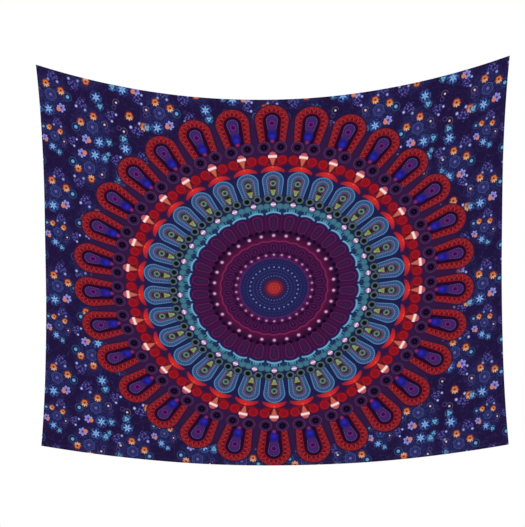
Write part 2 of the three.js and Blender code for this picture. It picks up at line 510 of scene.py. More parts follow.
class Painting:
    """Flat colours laid one over another."""

    def __init__(self, tree, colour):
        self.tree = tree
        self.colour = colour

    def lay(self, colour, mask):
        """Lays a linear colour, or (red, green, blue) in steps of 0 to 255, where mask is 1."""
        if isinstance(colour, tuple) and len(colour) == 3:
            colour = srgb(*colour)
        self.colour = pick(self.tree, mask, self.colour, colour)


def ring_of_colour(tree, radius, stops):
    """A colour that changes with radius, from (radius, colour) stops."""
    node = tree.nodes.new("ShaderNodeValToRGB")
    feed(node.inputs[0], radius)
    elements = node.color_ramp.elements
    while len(elements) < len(stops):
        elements.new(1.0)
    for element, (place, colour) in zip(elements, stops):
        element.position = place
        element.color = srgb(*colour)
    return Wire(tree, node.outputs[0])


# --- The strewn flowers of the ground ------------------------------------------------------------

# The ground repeats every TILE millimetres. Its flowers stand in posies, sprigs and pairs, each
# given by its place in the tile, its turn in degrees, its mirroring and its size.
TILE = (349.5, 295.0)
POSIES = (
    (293, 277, 0, 1, 1.0),
    (39, 80, -13, 1, 1.0),
    (168, 153, 0, -1, 1.0),
    (152, 279, 180, 1, 1.0),
    (43, 204, 40, -1, 0.75),
)
SPRIGS = (
    (50, 20, 0, 1, 1.0),
    (116, 36, 180, 1, 1.0),
    (137, 86, 10, 1, 1.0),
    (228, 106, -60, 1, 0.9),
    (54, 158, 0, 1, 0.8),
    (318, 45, -90, 1, 0.9),
    (316, 142, 150, 1, 1.1),
    (326, 220, 0, 1, 1.0),
    (238, 240, -80, 1, 0.9),
    (98, 206, -70, 1, 0.8),
)
PAIRS = (
    (186, 60, 0, 1, 1.0),
    (270, 22, 160, 1, 1.0),
    (272, 202, 150, -1, 1.05),
    (204, 244, 190, -1, 0.7),
)
EYES = (
    (250, 66, 0, 1, 1.0),
    (270, 150, 90, 1, 1.05),
    (345, 74, 0, -1, 0.9),
)


def nearest_place(ground, places):
    """The ground measured from the nearest of the places, in that place's own turn and size."""
    tree = ground.tree
    half = (TILE[0] / 2, TILE[1] / 2, 1)
    best = None
    best_reach = None
    for x, y, turn, mirror, size in places:
        away = ground.moved(x, y).vector("WRAP", half, tuple(-side for side in half))
        node = tree.nodes.new("ShaderNodeMapping")
        feed(node.inputs["Vector"], away)
        node.inputs["Rotation"].default_value = (0, 0, -mirror * math.radians(turn))
        node.inputs["Scale"].default_value = (mirror / size, 1 / size, 1)
        local = Wire(tree, node.outputs[0])
        reach = local.length()
        if best is None:
            best, best_reach = local, reach
            continue
        closer = reach.math("LESS_THAN", best_reach)
        best = pick(tree, closer, best, local, "VECTOR")
        best_reach = best_reach.math("MINIMUM", reach)
    return best


def nearer_of(ground, first, second):
    """The ground measured from whichever of two places is nearer."""
    one = ground.moved(*first)
    other = ground.moved(*second)
    closer = other.length().math("LESS_THAN", one.length())
    return pick(ground.tree, closer, one, other, "VECTOR")


def round_petals(spot, petals, inner, outer):
    """How far out the edge of a flower with round petals lies, at each angle about its middle."""
    x, y = spot.parts()
    wave = (x.math("ARCTAN2", y) * (petals / 2)).math("COSINE").math("ABSOLUTE")
    return wave.math("MULTIPLY_ADD", outer - inner, inner)


def noise_over(place, scale, detail=2.0, output=0):
    """Cloudy noise over a place."""
    node = place.tree.nodes.new("ShaderNodeTexNoise")
    node.inputs["Scale"].default_value = scale
    node.inputs["Detail"].default_value = detail
    feed(node.inputs["Vector"], place)
    return Wire(place.tree, node.outputs[output])


def cells(spot, size, feature="F1"):
    """How far each place is from the middle (or the edge) of its cell in a random net."""
    node = spot.tree.nodes.new("ShaderNodeTexVoronoi")
    node.voronoi_dimensions = "2D"
    node.feature = feature
    node.inputs["Scale"].default_value = 1 / size
    feed(node.inputs["Vector"], spot)
    return Wire(spot.tree, node.outputs["Distance"])


def draw_ring_flower(lay, spot):
    reach = spot.length()
    edge = round_petals(spot, 6, 15.0, 18.0)
    lay((34, 34, 86), reach.inside(18.0, 3.0))
    lay((66, 82, 136), (reach - edge).near(0, 1.0, SOFT_MM))
    hearts = round_petals(spot, 6, 5.0, 13.5)
    lay((72, 76, 138), (reach - hearts).near(0, 0.9, SOFT_MM))
    lay((104, 98, 166), reach.inside(round_petals(spot, 6, 2.0, 5.5), SOFT_MM))


def draw_orange_blossoms(lay, posy):
    spot = nearer_of(posy, (-5, -34), (37, -10))
    reach = spot.length()
    _, y = spot.parts()
    lay((104, 36, 42), reach.inside(12.5, 3.0))
    lay((198, 110, 62), reach.inside(round_petals(spot, 5, 8.0, 10.0), SOFT_MM))
    crown = reach.inside(round_petals(spot, 9, 6.0, 13.0), SOFT_MM) * (y * -1.0).inside(-4.0, 6.0)
    lay((222, 184, 148), crown * 0.8)
    lay((60, 28, 52), reach.inside(3.0, 2.2))


def draw_lilac_flower(lay, spot):
    reach = spot.length()
    lay((120, 122, 196), reach.inside(round_petals(spot, 6, 8.0, 14.0), SOFT_MM))
    lay((178, 176, 234), (reach - round_petals(spot, 6, 6.0, 12.0)).near(0, 0.6, SOFT_MM))
    lay((208, 122, 96), spot.moved(-9.5, 3).length().inside(7.0, SOFT_MM))
    lay((88, 44, 116), reach.inside(3.6, SOFT_MM))


def draw_blue_star(lay, spot, leaves):
    reach = spot.length()
    lay((26, 38, 90), reach.inside(19.0, 9.0) * 0.35)
    lay((60, 88, 150), leaves * reach.near(16.0, 3.5, 2.0) * 0.8)
    lay((78, 118, 184), reach.inside(round_petals(spot, 6, 3.5, 14.0), SOFT_MM))
    lay((136, 176, 222), reach.inside(round_petals(spot, 6, 1.0, 10.5), SOFT_MM))
    lay((50, 84, 150), reach.inside(1.8, SOFT_MM))


def draw_tulip(lay, spot, leaves):
    reach = spot.length()
    lay((30, 58, 104), reach.inside(12.0, 4.0) * 0.5)
    lay((60, 100, 150), leaves * reach.near(11.0, 2.5, 2.0))
    lay((106, 166, 204), reach.inside(round_petals(spot, 3, 4.0, 8.0), SOFT_MM))
    lay((40, 78, 130), reach.inside(2.0, SOFT_MM))


def draw_eye(lay, spot):
    reach = spot.length()
    x, y = spot.parts()
    lay((104, 84, 112), reach.near(10.5, 0.7, SOFT_MM) * (x + y).inside(9.0, 3.0))
    lay((76, 62, 120), spot.moved(-8, 15).length().near(6.0, 0.8, SOFT_MM))
    lay((210, 190, 190), reach.inside(3.2, SOFT_MM))


def draw_posy(lay, posy, leaves):
    """A ring flower with two orange blossoms, a lilac one, a blue star, a tulip and a heart round it."""
    around = posy.length().inside(58, 26)
    lay((34, 34, 88), around * 0.35)
    lay((52, 66, 122), leaves * around * 0.3)
    draw_ring_flower(lay, posy)
    draw_orange_blossoms(lay, posy)
    heart = posy.moved(54, 9).length()
    lay((40, 80, 124), heart.near(12.5, 0.9, SOFT_MM))
    lay((98, 162, 200), heart.inside(5.2, SOFT_MM))
    draw_blue_star(lay, posy.moved(-20, 42), leaves)
    draw_lilac_flower(lay, posy.moved(23, 40))
    draw_tulip(lay, posy.moved(-52, 38), leaves)
    draw_eye(lay, posy.moved(-40, -14))


def draw_sprig(lay, sprig):
    """A spray of dull purple leaves with two pale buds below it."""
    reach = sprig.length()
    leaf = cells(sprig, 8.6)
    around = reach.inside(round_petals(sprig, 5, 9.0, 18.0), 3.0)
    lay((36, 26, 82), around * 0.6)
    lay((72, 66, 132), leaf.inside(0.4, 0.16) * around)
    lay((98, 94, 164), leaf.inside(0.2, 0.16) * around)
    buds = nearer_of(sprig, (-15, 15), (14, 17)).length()
    lay((92, 100, 172), buds.inside(5.2, SOFT_MM))
    lay((186, 190, 234), buds.inside(3.0, SOFT_MM))


def draw_stems(lay, ground):
    """Thin curling stems in a net across the ground."""
    bend = noise_over(ground, 0.045, 1.0, "Color").vector("MULTIPLY", (46, 46, 0))
    edge = cells(ground.vector("ADD", bend), 34.0, "DISTANCE_TO_EDGE")
    lay((58, 56, 110), edge.inside(0.018, 0.04) * 0.45)


def draw_ground(lay, ground):
    leaves = cells(ground, 7.0).inside(0.4, 0.24)
    draw_stems(lay, ground)
    draw_sprig(lay, nearest_place(ground, SPRIGS))
    pair = nearest_place(ground, PAIRS)
    draw_blue_star(lay, pair, leaves)
    draw_tulip(lay, pair.moved(11, 26), leaves)
    draw_eye(lay, nearest_place(ground, EYES))
    lone = nearest_place(ground, ((290, 100, 0, 1, 1.1),))
    draw_orange_blossoms(lay, lone.vector("ADD", (-5, -34, 0)))
    draw_posy(lay, nearest_place(ground, POSIES), leaves)


# --- The round pattern ---------------------------------------------------------------------------

# Radii are shares of the distance from the middle to the tips of the outer petals. Each ring
# repeats in PETALS sectors.
PETALS = 30
SECTOR = 2 * math.pi / PETALS
# How far the tips of the outer petals lie from the middle, sideways and upwards, in metres.
RIM_RADII = (0.66, 0.592)

# The colour under the petals at each radius, blended from one to the next.
BASE_RINGS = (
    (0.000, (164, 42, 45)), (0.028, (146, 38, 46)), (0.04, (98, 30, 56)),
    (0.05, (54, 28, 68)), (0.064, (33, 34, 80)), (0.152, (29, 32, 80)),
    (0.163, (38, 30, 80)), (0.169, (80, 36, 94)), (0.176, (60, 18, 66)),
    (0.193, (60, 15, 58)), (0.199, (38, 9, 45)), (0.206, (42, 12, 48)),
    (0.212, (62, 17, 60)), (0.256, (64, 16, 60)), (0.266, (78, 18, 56)),
    (0.284, (72, 16, 52)), (0.296, (52, 15, 54)), (0.312, (42, 12, 50)),
    (0.328, (58, 18, 60)), (0.398, (54, 19, 62)), (0.41, (38, 22, 68)),
    (0.424, (34, 42, 86)), (0.438, (36, 80, 104)), (0.455, (56, 102, 122)),
    (0.464, (42, 70, 98)), (0.474, (22, 33, 66)), (0.5, (27, 36, 76)),
    (0.64, (30, 26, 72)), (0.655, (54, 22, 58)), (0.69, (88, 16, 40)),
    (0.722, (78, 16, 42)), (0.738, (48, 23, 62)),
)


def round_coordinates(tree):
    """The radius, and the print as seen from the middle line of the nearest petal and of its parts.

    Returns the radius, the angle off the petal's middle line, and (sideways, outwards) places
    measured from the lines through the petal, through each half of it, and through the gap.
    """
    uv = tree.nodes.new("ShaderNodeUVMap")
    uv.uv_map = "round_pattern"
    x, y = Wire(tree, uv.outputs[0]).parts()
    radius = join_xy(x, y).length()
    angle = x.math("ARCTAN2", y).math("WRAP", SECTOR / 2, -SECTOR / 2).math("ABSOLUTE")
    lines = []
    for off_line in (angle, (angle - SECTOR / 4).math("ABSOLUTE"), SECTOR / 2 - angle):
        lines.append(join_xy(radius * off_line.math("SINE"), radius * off_line.math("COSINE")))
    return radius, angle, *lines


def arch(spot, low, high, low_radius, high_radius, seam_radius):
    """An arched petal about the line from low to high.

    Gives how far out a place is, as a share of the petal's radius there, and how far along the
    petal it is, measured on a seam that runs at seam_radius.
    """
    side, out = spot.parts()
    share = (out - low).math("DIVIDE", high - low, clamp=True)
    middle = share.math("MULTIPLY_ADD", high - low, low)
    radius = share.math("MULTIPLY_ADD", high_radius - low_radius, low_radius)
    rise = out - middle
    along = side.math("ARCTAN2", rise) * seam_radius - middle
    return join_xy(side, rise).length() / radius, along + high


def draw_centre(lay, petal, half):
    """The red heart, its dotted blue disc, and the small rings round that."""
    lay((190, 58, 48), petal.away(0.019).near(0.007, 0.0015))
    lay((86, 92, 150), petal.away(0.0694).inside(0.003))
    lay((58, 62, 118), half.away(0.103).inside(0.0026))
    lay((62, 66, 124), half.away(0.086).inside(0.0022))
    lay((50, 50, 104), half.away(0.134).inside(0.0034))
    lay((48, 44, 98), half.away(0.15).inside(0.0036))
    lay((114, 118, 166), petal.away(0.1184).inside(0.0042))
    lay((110, 40, 92), petal.away(0.185).near(0.011, 0.0012))
    lay((178, 126, 170), petal.away(0.1872).inside(0.0058))


def draw_small_arches(lay, radius, angle, petal, half, gap):
    """Dark arches, a scalloped pink line, pink dots, black dots and magenta petals."""
    edge, _ = arch(petal, 0.216, 0.2325, 0.0135, 0.0165, 0.015)
    lay((48, 12, 50), edge.inside(1.0, 0.14))
    lay((84, 34, 86), edge.near(0.92, 0.09, 0.12))
    lay((76, 26, 78), edge.inside(0.26, 0.16))
    scallop = radius + angle * 0.058
    lay((100, 24, 66), scallop.near(0.268, 0.005, 0.006))
    lay((134, 42, 96), scallop.near(0.2655, 0.0016))
    dot = petal.away(0.2949)
    lay((88, 36, 82), dot.inside(0.013, 0.004))
    lay((208, 154, 194), dot.inside(0.0074))
    lay((20, 4, 30), half.away(0.317).inside(0.0088, 0.004))
    lay((78, 25, 72), gap.parts()[0].inside(0.0014) * radius.near(0.367, 0.036, 0.01))
    edge, _ = arch(petal, 0.342, 0.383, 0.019, 0.024, 0.02)
    lay((52, 14, 54), edge.inside(1.06, 0.1))
    lay((106, 32, 90), edge.near(0.93, 0.075, 0.08))
    lay((80, 24, 74), edge.near(0.66, 0.045, 0.08))
    lay((54, 28, 66), edge.inside(0.46, 0.16))


def draw_turquoise_band(lay, radius, angle, petal, half, gap):
    """A bank of turquoise clouds over pale scallops, with dark lozenges between them."""
    middle_cloud = petal.moved(0.032, 0.4565).length()
    cloud = middle_cloud.math("MINIMUM", gap.moved(0.016, 0.4565).length())
    lay((30, 62, 92), cloud.inside(0.018, 0.004))
    lay((60, 108, 126), cloud.inside(0.016, 0.003))
    lay((66, 114, 132), cloud.inside(0.008, 0.01))
    lay((18, 56, 88), half.away(0.438).inside(0.0085, 0.006))
    lay((28, 46, 88), gap.away(0.43, 0.62).inside(0.0125, 0.005))
    lay((64, 128, 158), petal.away(0.432, 0.8).inside(0.01, 0.01))
    teeth = angle.math("PINGPONG", 0.015).inside(0.0032, 0.003) * angle.inside(0.072, 0.01)
    lay((92, 158, 186), teeth * 0.75 * radius.near(0.436, 0.008, 0.003))
    scallop = petal.away(0.3548)
    above = radius.math("GREATER_THAN", 0.4)
    under = angle.inside(0.092, 0.01) * above
    lay((34, 40, 90), scallop.near(0.064, 0.003, 0.003) * under)
    lay((108, 162, 194), scallop.near(0.07, 0.0042, 0.003) * angle.inside(0.088, 0.008) * above)


def draw_middle_petals(lay, petal, half):
    """Blue petals with a beaded band, an eye and a green leaf, over pairs of ringed dots."""
    colours = bpy.context.scene.tapestry_print
    edge, along = arch(petal, 0.52, 0.5957, 0.0425, 0.054, 0.041)
    above = petal.parts()[1].math("GREATER_THAN", 0.5)
    lay((20, 26, 70), edge.inside(1.07, 0.06) * above)
    lay((*colours.middle_petal, 1.0), edge.inside(1.0, 0.05) * above)
    bead = join_xy(along.math("PINGPONG", 0.0063) * 1.1, (edge - 0.76) * 0.04)
    lay((27, 48, 100), bead.length().inside(0.005) * above)
    lay((98, 144, 188), bead.length().inside(0.0012, 0.002) * above)
    lay((84, 130, 176), edge.near(0.95, 0.035, 0.05) * above)
    lay((80, 124, 170), edge.near(0.555, 0.03, 0.05) * above)
    lay((40, 34, 84), edge.inside(0.51, 0.04) * above)
    dashes = along.math("PINGPONG", 0.0048).inside(0.003, 0.002)
    lay((142, 92, 116), edge.near(0.425, 0.035, 0.05) * dashes * above)
    lay((50, 46, 74), edge.inside(0.36, 0.05) * above)
    lay((88, 98, 92), edge.near(0.325, 0.025, 0.05) * dashes * above)
    eye = petal.away(0.5835)
    lay((52, 66, 66), eye.inside(0.0165))
    lay((116, 142, 128), eye.near(0.0125, 0.0021))
    lay((78, 104, 84), eye.near(0.0075, 0.0012))
    lay((10, 34, 28), eye.inside(0.005))
    lay((34, 34, 22), petal.away(0.5565, 0.55).inside(0.0062))
    side, out = petal.parts()
    leaf = side - (out - 0.52) * 0.34
    lay((140, 148, 78), leaf.inside(0.0046) * out.near(0.534, 0.014))
    lay((92, 116, 62), side.inside(0.0014) * out.near(0.538, 0.01))
    lay((120, 158, 128), petal.away(0.5245).inside(0.0068))
    dot = half.away(0.5)
    lay((34, 44, 64), dot.inside(0.0225, 0.004))
    lay((90, 104, 112), dot.inside(0.0198))
    lay((40, 54, 56), dot.inside(0.0155))
    lay((68, 86, 84), dot.near(0.0132, 0.0008))
    lay((6, 16, 18), dot.inside(0.011))
    ball = petal.moved(0, 0.4675)
    inside_ball = ball.length().inside(0.0128)
    lay((28, 38, 70), ball.length().inside(0.0155, 0.003))
    lay((182, 138, 186), inside_ball)
    lay((248, 226, 242), ball.parts()[1].near(0, 0.003) * inside_ball)


def draw_red_garland(lay, petal, gap):
    """Red crescents over the blue petals, a chain of dark red beads, and striped drops on stalks."""
    side, out = petal.parts()
    bead = petal.moved(0.0465, 0.7095).length()
    lay((92, 12, 34), bead.inside(0.0275, 0.003))
    lay((138, 16, 30), bead.inside(0.025, 0.004))
    lay((160, 27, 36), bead.near(0.0195, 0.002, 0.004))
    lay((128, 20, 32), side.near(0.03, 0.018, 0.01) * out.near(0.686, 0.006, 0.006))
    lay((44, 22, 64), gap.away(0.674, 0.62).inside(0.0135, 0.006))
    outer = petal.away(0.6007)
    inner = petal.away(0.496)
    crescent = outer.inside(0.0773, 0.004) * (inner * -1.0).inside(-0.156, 0.004)
    crescent = crescent * side.inside(0.057, 0.005)
    above = out.math("GREATER_THAN", 0.63)
    ends = pick(petal.tree, side.inside(0.032, 0.03), srgb(156, 34, 50), srgb(214, 44, 40))
    lay(ends, crescent * above)
    fringe = side.math("PINGPONG", 0.004).inside(0.0014) * outer.inside(0.07, 0.006)
    lay((134, 26, 46), fringe * crescent * above * 0.65)
    lay((226, 84, 62), petal.away(0.672).inside(0.004, 0.004))
    stalk = side - (out - 0.683) * 0.32
    between_ends = out.near(0.701, 0.019)
    lay((112, 46, 30), stalk.inside(0.006, 0.003) * between_ends)
    lay((196, 94, 76), stalk.inside(0.0022) * between_ends)
    cap = petal.away(0.742, 0.82)
    lay((184, 92, 104), cap.inside(0.013))
    lay((168, 58, 74), cap.near(0.0085, 0.001))
    lay((222, 132, 136), out.near(0.73, 0.0095) * side.inside(0.0205, 0.003))
    lay((252, 218, 210), out.near(0.73, 0.0056) * side.inside(0.0212, 0.003))


def draw_outer_petals(lay, petal, half):
    """Red arches filled with a zigzag, round a purple heart with an eye and a blue flame."""
    colours = bpy.context.scene.tapestry_print
    _, out = petal.parts()
    edge, along = arch(petal, 0.81, 0.9225, 0.064, 0.0815, 0.063)
    above = (out * -1.0).inside(-0.808, 0.006)
    lay((40, 20, 52), edge.inside(1.08, 0.08) * above)
    lay((*colours.rim_petal, 1.0), edge.inside(1.0, 0.03) * above)
    band = edge.near(0.775, 0.205, 0.03) * above
    tooth = 0.0124
    zigzag = along.math("PINGPONG", tooth) * (0.31 / tooth) + 0.62
    lay((104, 12, 30), (edge - zigzag).inside(0.0, 0.05) * band)
    lay((188, 62, 52), (edge - zigzag).near(0.0, 0.024, 0.05) * band)
    lay((128, 34, 44), edge.near(0.965, 0.022, 0.03) * above)
    lay((132, 28, 42), edge.near(0.575, 0.018, 0.03) * above)
    lay((48, 6, 34), edge.inside(0.545, 0.03) * above)
    lay((30, 8, 36), edge.inside(0.46, 0.05) * above)
    heart, along = arch(petal, 0.815, 0.923, 0.0125, 0.0305, 0.027)
    lay((52, 28, 84), heart.inside(1.0, 0.1) * above)
    dashes = along.math("PINGPONG", 0.006).inside(0.0038, 0.002) * out.math("GREATER_THAN", 0.875)
    lay((100, 90, 132), heart.near(0.86, 0.045, 0.08) * dashes)
    lay((64, 36, 98), heart.inside(0.7, 0.2) * above)
    eye = petal.away(0.908)
    lay((54, 22, 86), eye.inside(0.019))
    lay((104, 38, 112), eye.near(0.0135, 0.003))
    lay((62, 6, 66), eye.inside(0.008))
    lay((32, 26, 128), petal.away(0.844, 1.3).inside(0.027, 0.012))
    lay((40, 38, 166), petal.away(0.838).inside(0.011, 0.01))
    lay((134, 40, 92), petal.away(0.812, 1.1).inside(0.0085, 0.005))
    dot = half.away(0.78)
    lay((42, 18, 54), dot.inside(0.0325, 0.004))
    lay((82, 44, 86), dot.near(0.0285, 0.0026))
    lay((62, 34, 72), dot.near(0.0215, 0.0014))
    lay((10, 3, 22), dot.inside(0.0152, 0.003))
    lay((44, 34, 66), dot.inside(0.0034))


def draw_round_pattern(lay, tree):
    radius, angle, petal, half, gap = round_coordinates(tree)
    rings = ring_of_colour(tree, radius, BASE_RINGS)
    lay(rings, radius.inside(0.93, 0.05))
    draw_centre(lay, petal, half)
    draw_small_arches(lay, radius, angle, petal, half, gap)
    draw_turquoise_band(lay, radius, angle, petal, half, gap)
    draw_middle_petals(lay, petal, half)
    draw_red_garland(lay, petal, gap)
    draw_outer_petals(lay, petal, half)


def print_group():
    """The whole print, as one group of shader nodes that gives a colour."""
    name = "Tapestry Print"
    if name in bpy.data.node_groups:
        return bpy.data.node_groups[name]
    tree = bpy.data.node_groups.new(name, "ShaderNodeTree")
    tree.interface.new_socket("Colour", in_out="OUTPUT", socket_type="NodeSocketColor")
    uv = tree.nodes.new("ShaderNodeUVMap")
    uv.uv_map = "flat_cloth"
    across, up = Wire(tree, uv.outputs[0]).parts()
    sag = across * (1 - across) * 4.0
    row = (1 - up) + (up * 2.0 - 1.0) * sag * ROW_SAG
    ground = join_xy(across * (PRINT_WIDTH / MM), row * (PRINT_DROP / MM))
    painting = Painting(tree, (*bpy.context.scene.tapestry_print.ground, 1.0))
    draw_ground(painting.lay, ground)
    draw_round_pattern(painting.lay, tree)
    output = tree.nodes.new("NodeGroupOutput")
    feed(output.inputs[0], painting.colour)
    return tree


# --- Finishes ------------------------------------------------------------------------------------

CLOTH_THREAD_PITCH = 0.0008
TAPE_THREAD_PITCH = 0.0004
SHOW_THROUGH = 0.62


def new_material(name, **settings):
    """A material with one shader, whose plain settings are put on its own sockets."""
    material = bpy.data.materials.new(name)
    material.use_nodes = True
    shader = material.node_tree.nodes["Principled BSDF"]
    for socket, value in settings.items():
        shader.inputs[socket.replace("_", " ")].default_value = value
    return material, material.node_tree, shader


def weave_bump(tree, shader, pitch, strength):
    """Crossed threads at pitch metres, in relief, with a slight unevenness."""
    uv = tree.nodes.new("ShaderNodeUVMap")
    uv.uv_map = "flat_cloth"
    flat = Wire(tree, uv.outputs[0])
    x, y = flat.vector("MULTIPLY", (PRINT_WIDTH / pitch * math.pi, PRINT_DROP / pitch * math.pi, 1)).parts()
    threads = x.math("SINE").math("ABSOLUTE") * y.math("SINE").math("ABSOLUTE")
    slubs = noise_over(flat, 9.0, 3.0)
    bump = tree.nodes.new("ShaderNodeBump")
    bump.inputs["Strength"].default_value = strength
    bump.inputs["Distance"].default_value = pitch * 0.3
    feed(bump.inputs["Height"], threads + slubs * 2.0)
    tree.links.new(bump.outputs[0], shader.inputs["Normal"])
    return slubs


def printed_cloth(name="Printed Cloth", fade=0.0):
    """The print on a fine plain weave. fade is how much of the white cloth shows through it."""
    material, tree, shader = new_material(name, Roughness=0.85, Specular_IOR_Level=0.02)
    group = tree.nodes.new("ShaderNodeGroup")
    group.node_tree = print_group()
    slubs = weave_bump(tree, shader, CLOTH_THREAD_PITCH, 0.25)
    uneven = slubs.math("MULTIPLY_ADD", 0.10, -0.04, clamp=True)
    dyed = pick(tree, uneven, Wire(tree, group.outputs[0]), srgb(60, 44, 96))
    if fade:
        dyed = pick(tree, fade, dyed, srgb(214, 210, 220))
    feed(shader.inputs["Base Color"], dyed)
    return material


def mottled(name, scale, first, second, **settings):
    """A material mottled between two colours, over the piece's own coordinates."""
    material, tree, shader = new_material(name, **settings)
    place = tree.nodes.new("ShaderNodeTexCoord")
    mottle = noise_over(Wire(tree, place.outputs["Object"]), scale)
    feed(shader.inputs["Base Color"], pick(tree, mottle, srgb(*first), srgb(*second)))
    return material, shader, mottle


def thread_finish():
    return mottled("Sewing Thread", 900.0, (30, 20, 62), (74, 60, 124), Roughness=0.6, Sheen_Weight=0.2)[0]


def label_finish():
    material, tree, shader = new_material("Satin Tape", Roughness=0.45, Sheen_Weight=0.3)
    slubs = weave_bump(tree, shader, TAPE_THREAD_PITCH, 0.3)
    feed(shader.inputs["Base Color"], pick(tree, slubs, srgb(226, 224, 218), srgb(244, 243, 240)))
    return material


def pin_plastic():
    return mottled("Pin Plastic", 400.0, (30, 22, 56), (42, 32, 74), Roughness=0.25, Coat_Weight=0.3)[0]


def pin_steel():
    material, shader, mottle = mottled("Pin Steel", 600.0, (186, 188, 192), (214, 216, 220), Metallic=1.0)
    feed(shader.inputs["Roughness"], mottle.math("MULTIPLY_ADD", 0.2, 0.18))
    return material


def floor_finish():
    return mottled("Pale Floor", 3.0, (232, 231, 229), (240, 240, 239), Roughness=0.6)[0]


# --- Sewing as Geometry Nodes --------------------------------------------------------------------


def stitch_tree():
    """A row of stitches along an edge line: points at the pitch, each an elongated bead of thread."""
    tree = bpy.data.node_groups.new("Stitch Row", "GeometryNodeTree")
    for name, way, kind in (
        ("Geometry", "INPUT", "Geometry"),
        ("Pitch", "INPUT", "Float"),
        ("Stitch Length", "INPUT", "Float"),
        ("Thread Thickness", "INPUT", "Float"),
        ("Thread Material", "INPUT", "Material"),
        ("Geometry", "OUTPUT", "Geometry"),
    ):
        tree.interface.new_socket(name, in_out=way, socket_type="NodeSocket" + kind)
    nodes = {}
    for key, kind in (
        ("in", "NodeGroupInput"),
        ("line", "GeometryNodeMeshToCurve"),
        ("points", "GeometryNodeCurveToPoints"),
        ("bead", "GeometryNodeMeshUVSphere"),
        ("turn", "FunctionNodeAlignRotationToVector"),
        ("size", "ShaderNodeCombineXYZ"),
        ("set", "GeometryNodeInstanceOnPoints"),
        ("real", "GeometryNodeRealizeInstances"),
        ("smooth", "GeometryNodeSetShadeSmooth"),
        ("finish", "GeometryNodeSetMaterial"),
        ("out", "NodeGroupOutput"),
    ):
        nodes[key] = tree.nodes.new(kind)
    nodes["points"].mode = "LENGTH"
    nodes["turn"].axis = "X"
    nodes["bead"].inputs["Segments"].default_value = 6
    nodes["bead"].inputs["Rings"].default_value = 5
    nodes["bead"].inputs["Radius"].default_value = 0.5
    for start, output, end, target in (
        ("in", "Geometry", "line", "Mesh"),
        ("line", "Curve", "points", "Curve"),
        ("in", "Pitch", "points", "Length"),
        ("points", "Tangent", "turn", "Vector"),
        ("in", "Stitch Length", "size", "X"),
        ("in", "Thread Thickness", "size", "Y"),
        ("in", "Thread Thickness", "size", "Z"),
        ("points", "Points", "set", "Points"),
        ("bead", "Mesh", "set", "Instance"),
        ("turn", "Rotation", "set", "Rotation"),
        ("size", "Vector", "set", "Scale"),
        ("set", "Instances", "real", "Geometry"),
        ("real", "Geometry", "smooth", "Geometry"),
        ("smooth", "Geometry", "finish", "Geometry"),
        ("in", "Thread Material", "finish", "Material"),
        ("finish", "Geometry", "out", "Geometry"),
    ):
        tree.links.new(nodes[start].outputs[output], nodes[end].inputs[target])
    return tree


# The hem: how far it stands behind the cloth, how thick it is, and how far the seam draws it in.
LAYER_GAP = 0.0001
HEM_THICKNESS = 0.0010
SEAM_DRAW = 0.0003
PUCKER = 0.0002
SEAM_WIDTH = 0.0012
CORNER_GAP = 0.0003
SEAM_POINTS = 401
# How far the middle of a stitch stands clear of the cloth, as a share of the thread.
THREAD_CLEAR = 0.2
HEM_CROSS_SECTION = (0, 0.03, 0.1, 0.3, 0.55, 0.7, 0.75, 0.8, 0.9, 0.97, 1)

LABEL_COLUMNS = 24
LABEL_ROWS = 40
LABEL_INSET = 0.022
LABEL_WIDTH = 0.018
LABEL_DROP = 0.030
LABEL_DEPTH = 0.0012
LABEL_THICKNESS = 0.0003
LABEL_LIFT = 0.0009
LABEL_WAVE = 260
LABEL_SEAM = 0.0022
LABEL_SEAM_INSET = 0.002
LABEL_SEAM_POINTS = 15


def edge_sizes(side):
    """Whether a side runs level, the size of the cloth across it, and the length along it."""
    cloth = bpy.context.scene.tapestry_cloth
    if side in ("top", "bottom"):
        return True, cloth.drop, cloth.width
    return False, cloth.width, cloth.drop


def sewn_row(name, places, tree, material):
    """Stitches along a line of places in space, as a plain mesh."""
    sewing = bpy.context.scene.tapestry_sewing
    mesh = bpy.data.meshes.new(name + "_line")
    edges = [(start, start + 1) for start in range(len(places) - 1)]
    mesh.from_pydata(places.tolist(), edges, [])
    line = link(name + "_line", mesh)
    modifier = line.modifiers.new("Stitches", "NODES")
    modifier.node_group = tree
    values = {
        "Pitch": sewing.stitch_pitch,
        "Stitch Length": sewing.stitch_length,
        "Thread Thickness": sewing.thread,
        "Thread Material": material,
    }
    for item in tree.interface.items_tree:
        if item.in_out == "INPUT" and item.name in values:
            modifier[item.identifier] = values[item.name]
    evaluated = line.evaluated_get(bpy.context.evaluated_depsgraph_get())
    stitches = bpy.data.meshes.new_from_object(evaluated)
    bpy.data.objects.remove(line)
    if not stitches.vertices:
        raise RuntimeError(f"no stitches were made for {name}")
    stitches.name = name
    return link(name, stitches)


# --- Operators -----------------------------------------------------------------------------------


class TAPESTRY_OT_make_panel(bpy.types.Operator):
    """Make the printed cloth, hung between its corners"""

    bl_idname = "tapestry.make_panel"
    bl_label = "Make Cloth Panel"

    def execute(self, context):
        cloth = context.scene.tapestry_cloth
        across_lines = np.linspace(0, 1, cloth.columns + 1)
        down_lines = np.linspace(0, 1, cloth.rows + 1)
        front = PANEL_BACK_DEPTH + cloth.thickness
        mesh = sheet_mesh("tapestry_cloth", across_lines, down_lines, PANEL_BACK_DEPTH, front)
        finishes = [printed_cloth(), printed_cloth("Cloth Back", fade=SHOW_THROUGH)]
        piece = finish_piece("tapestry_cloth", mesh, finishes)
        declare(piece, "printed_cloth", "cloth_panel")
        return {"FINISHED"}


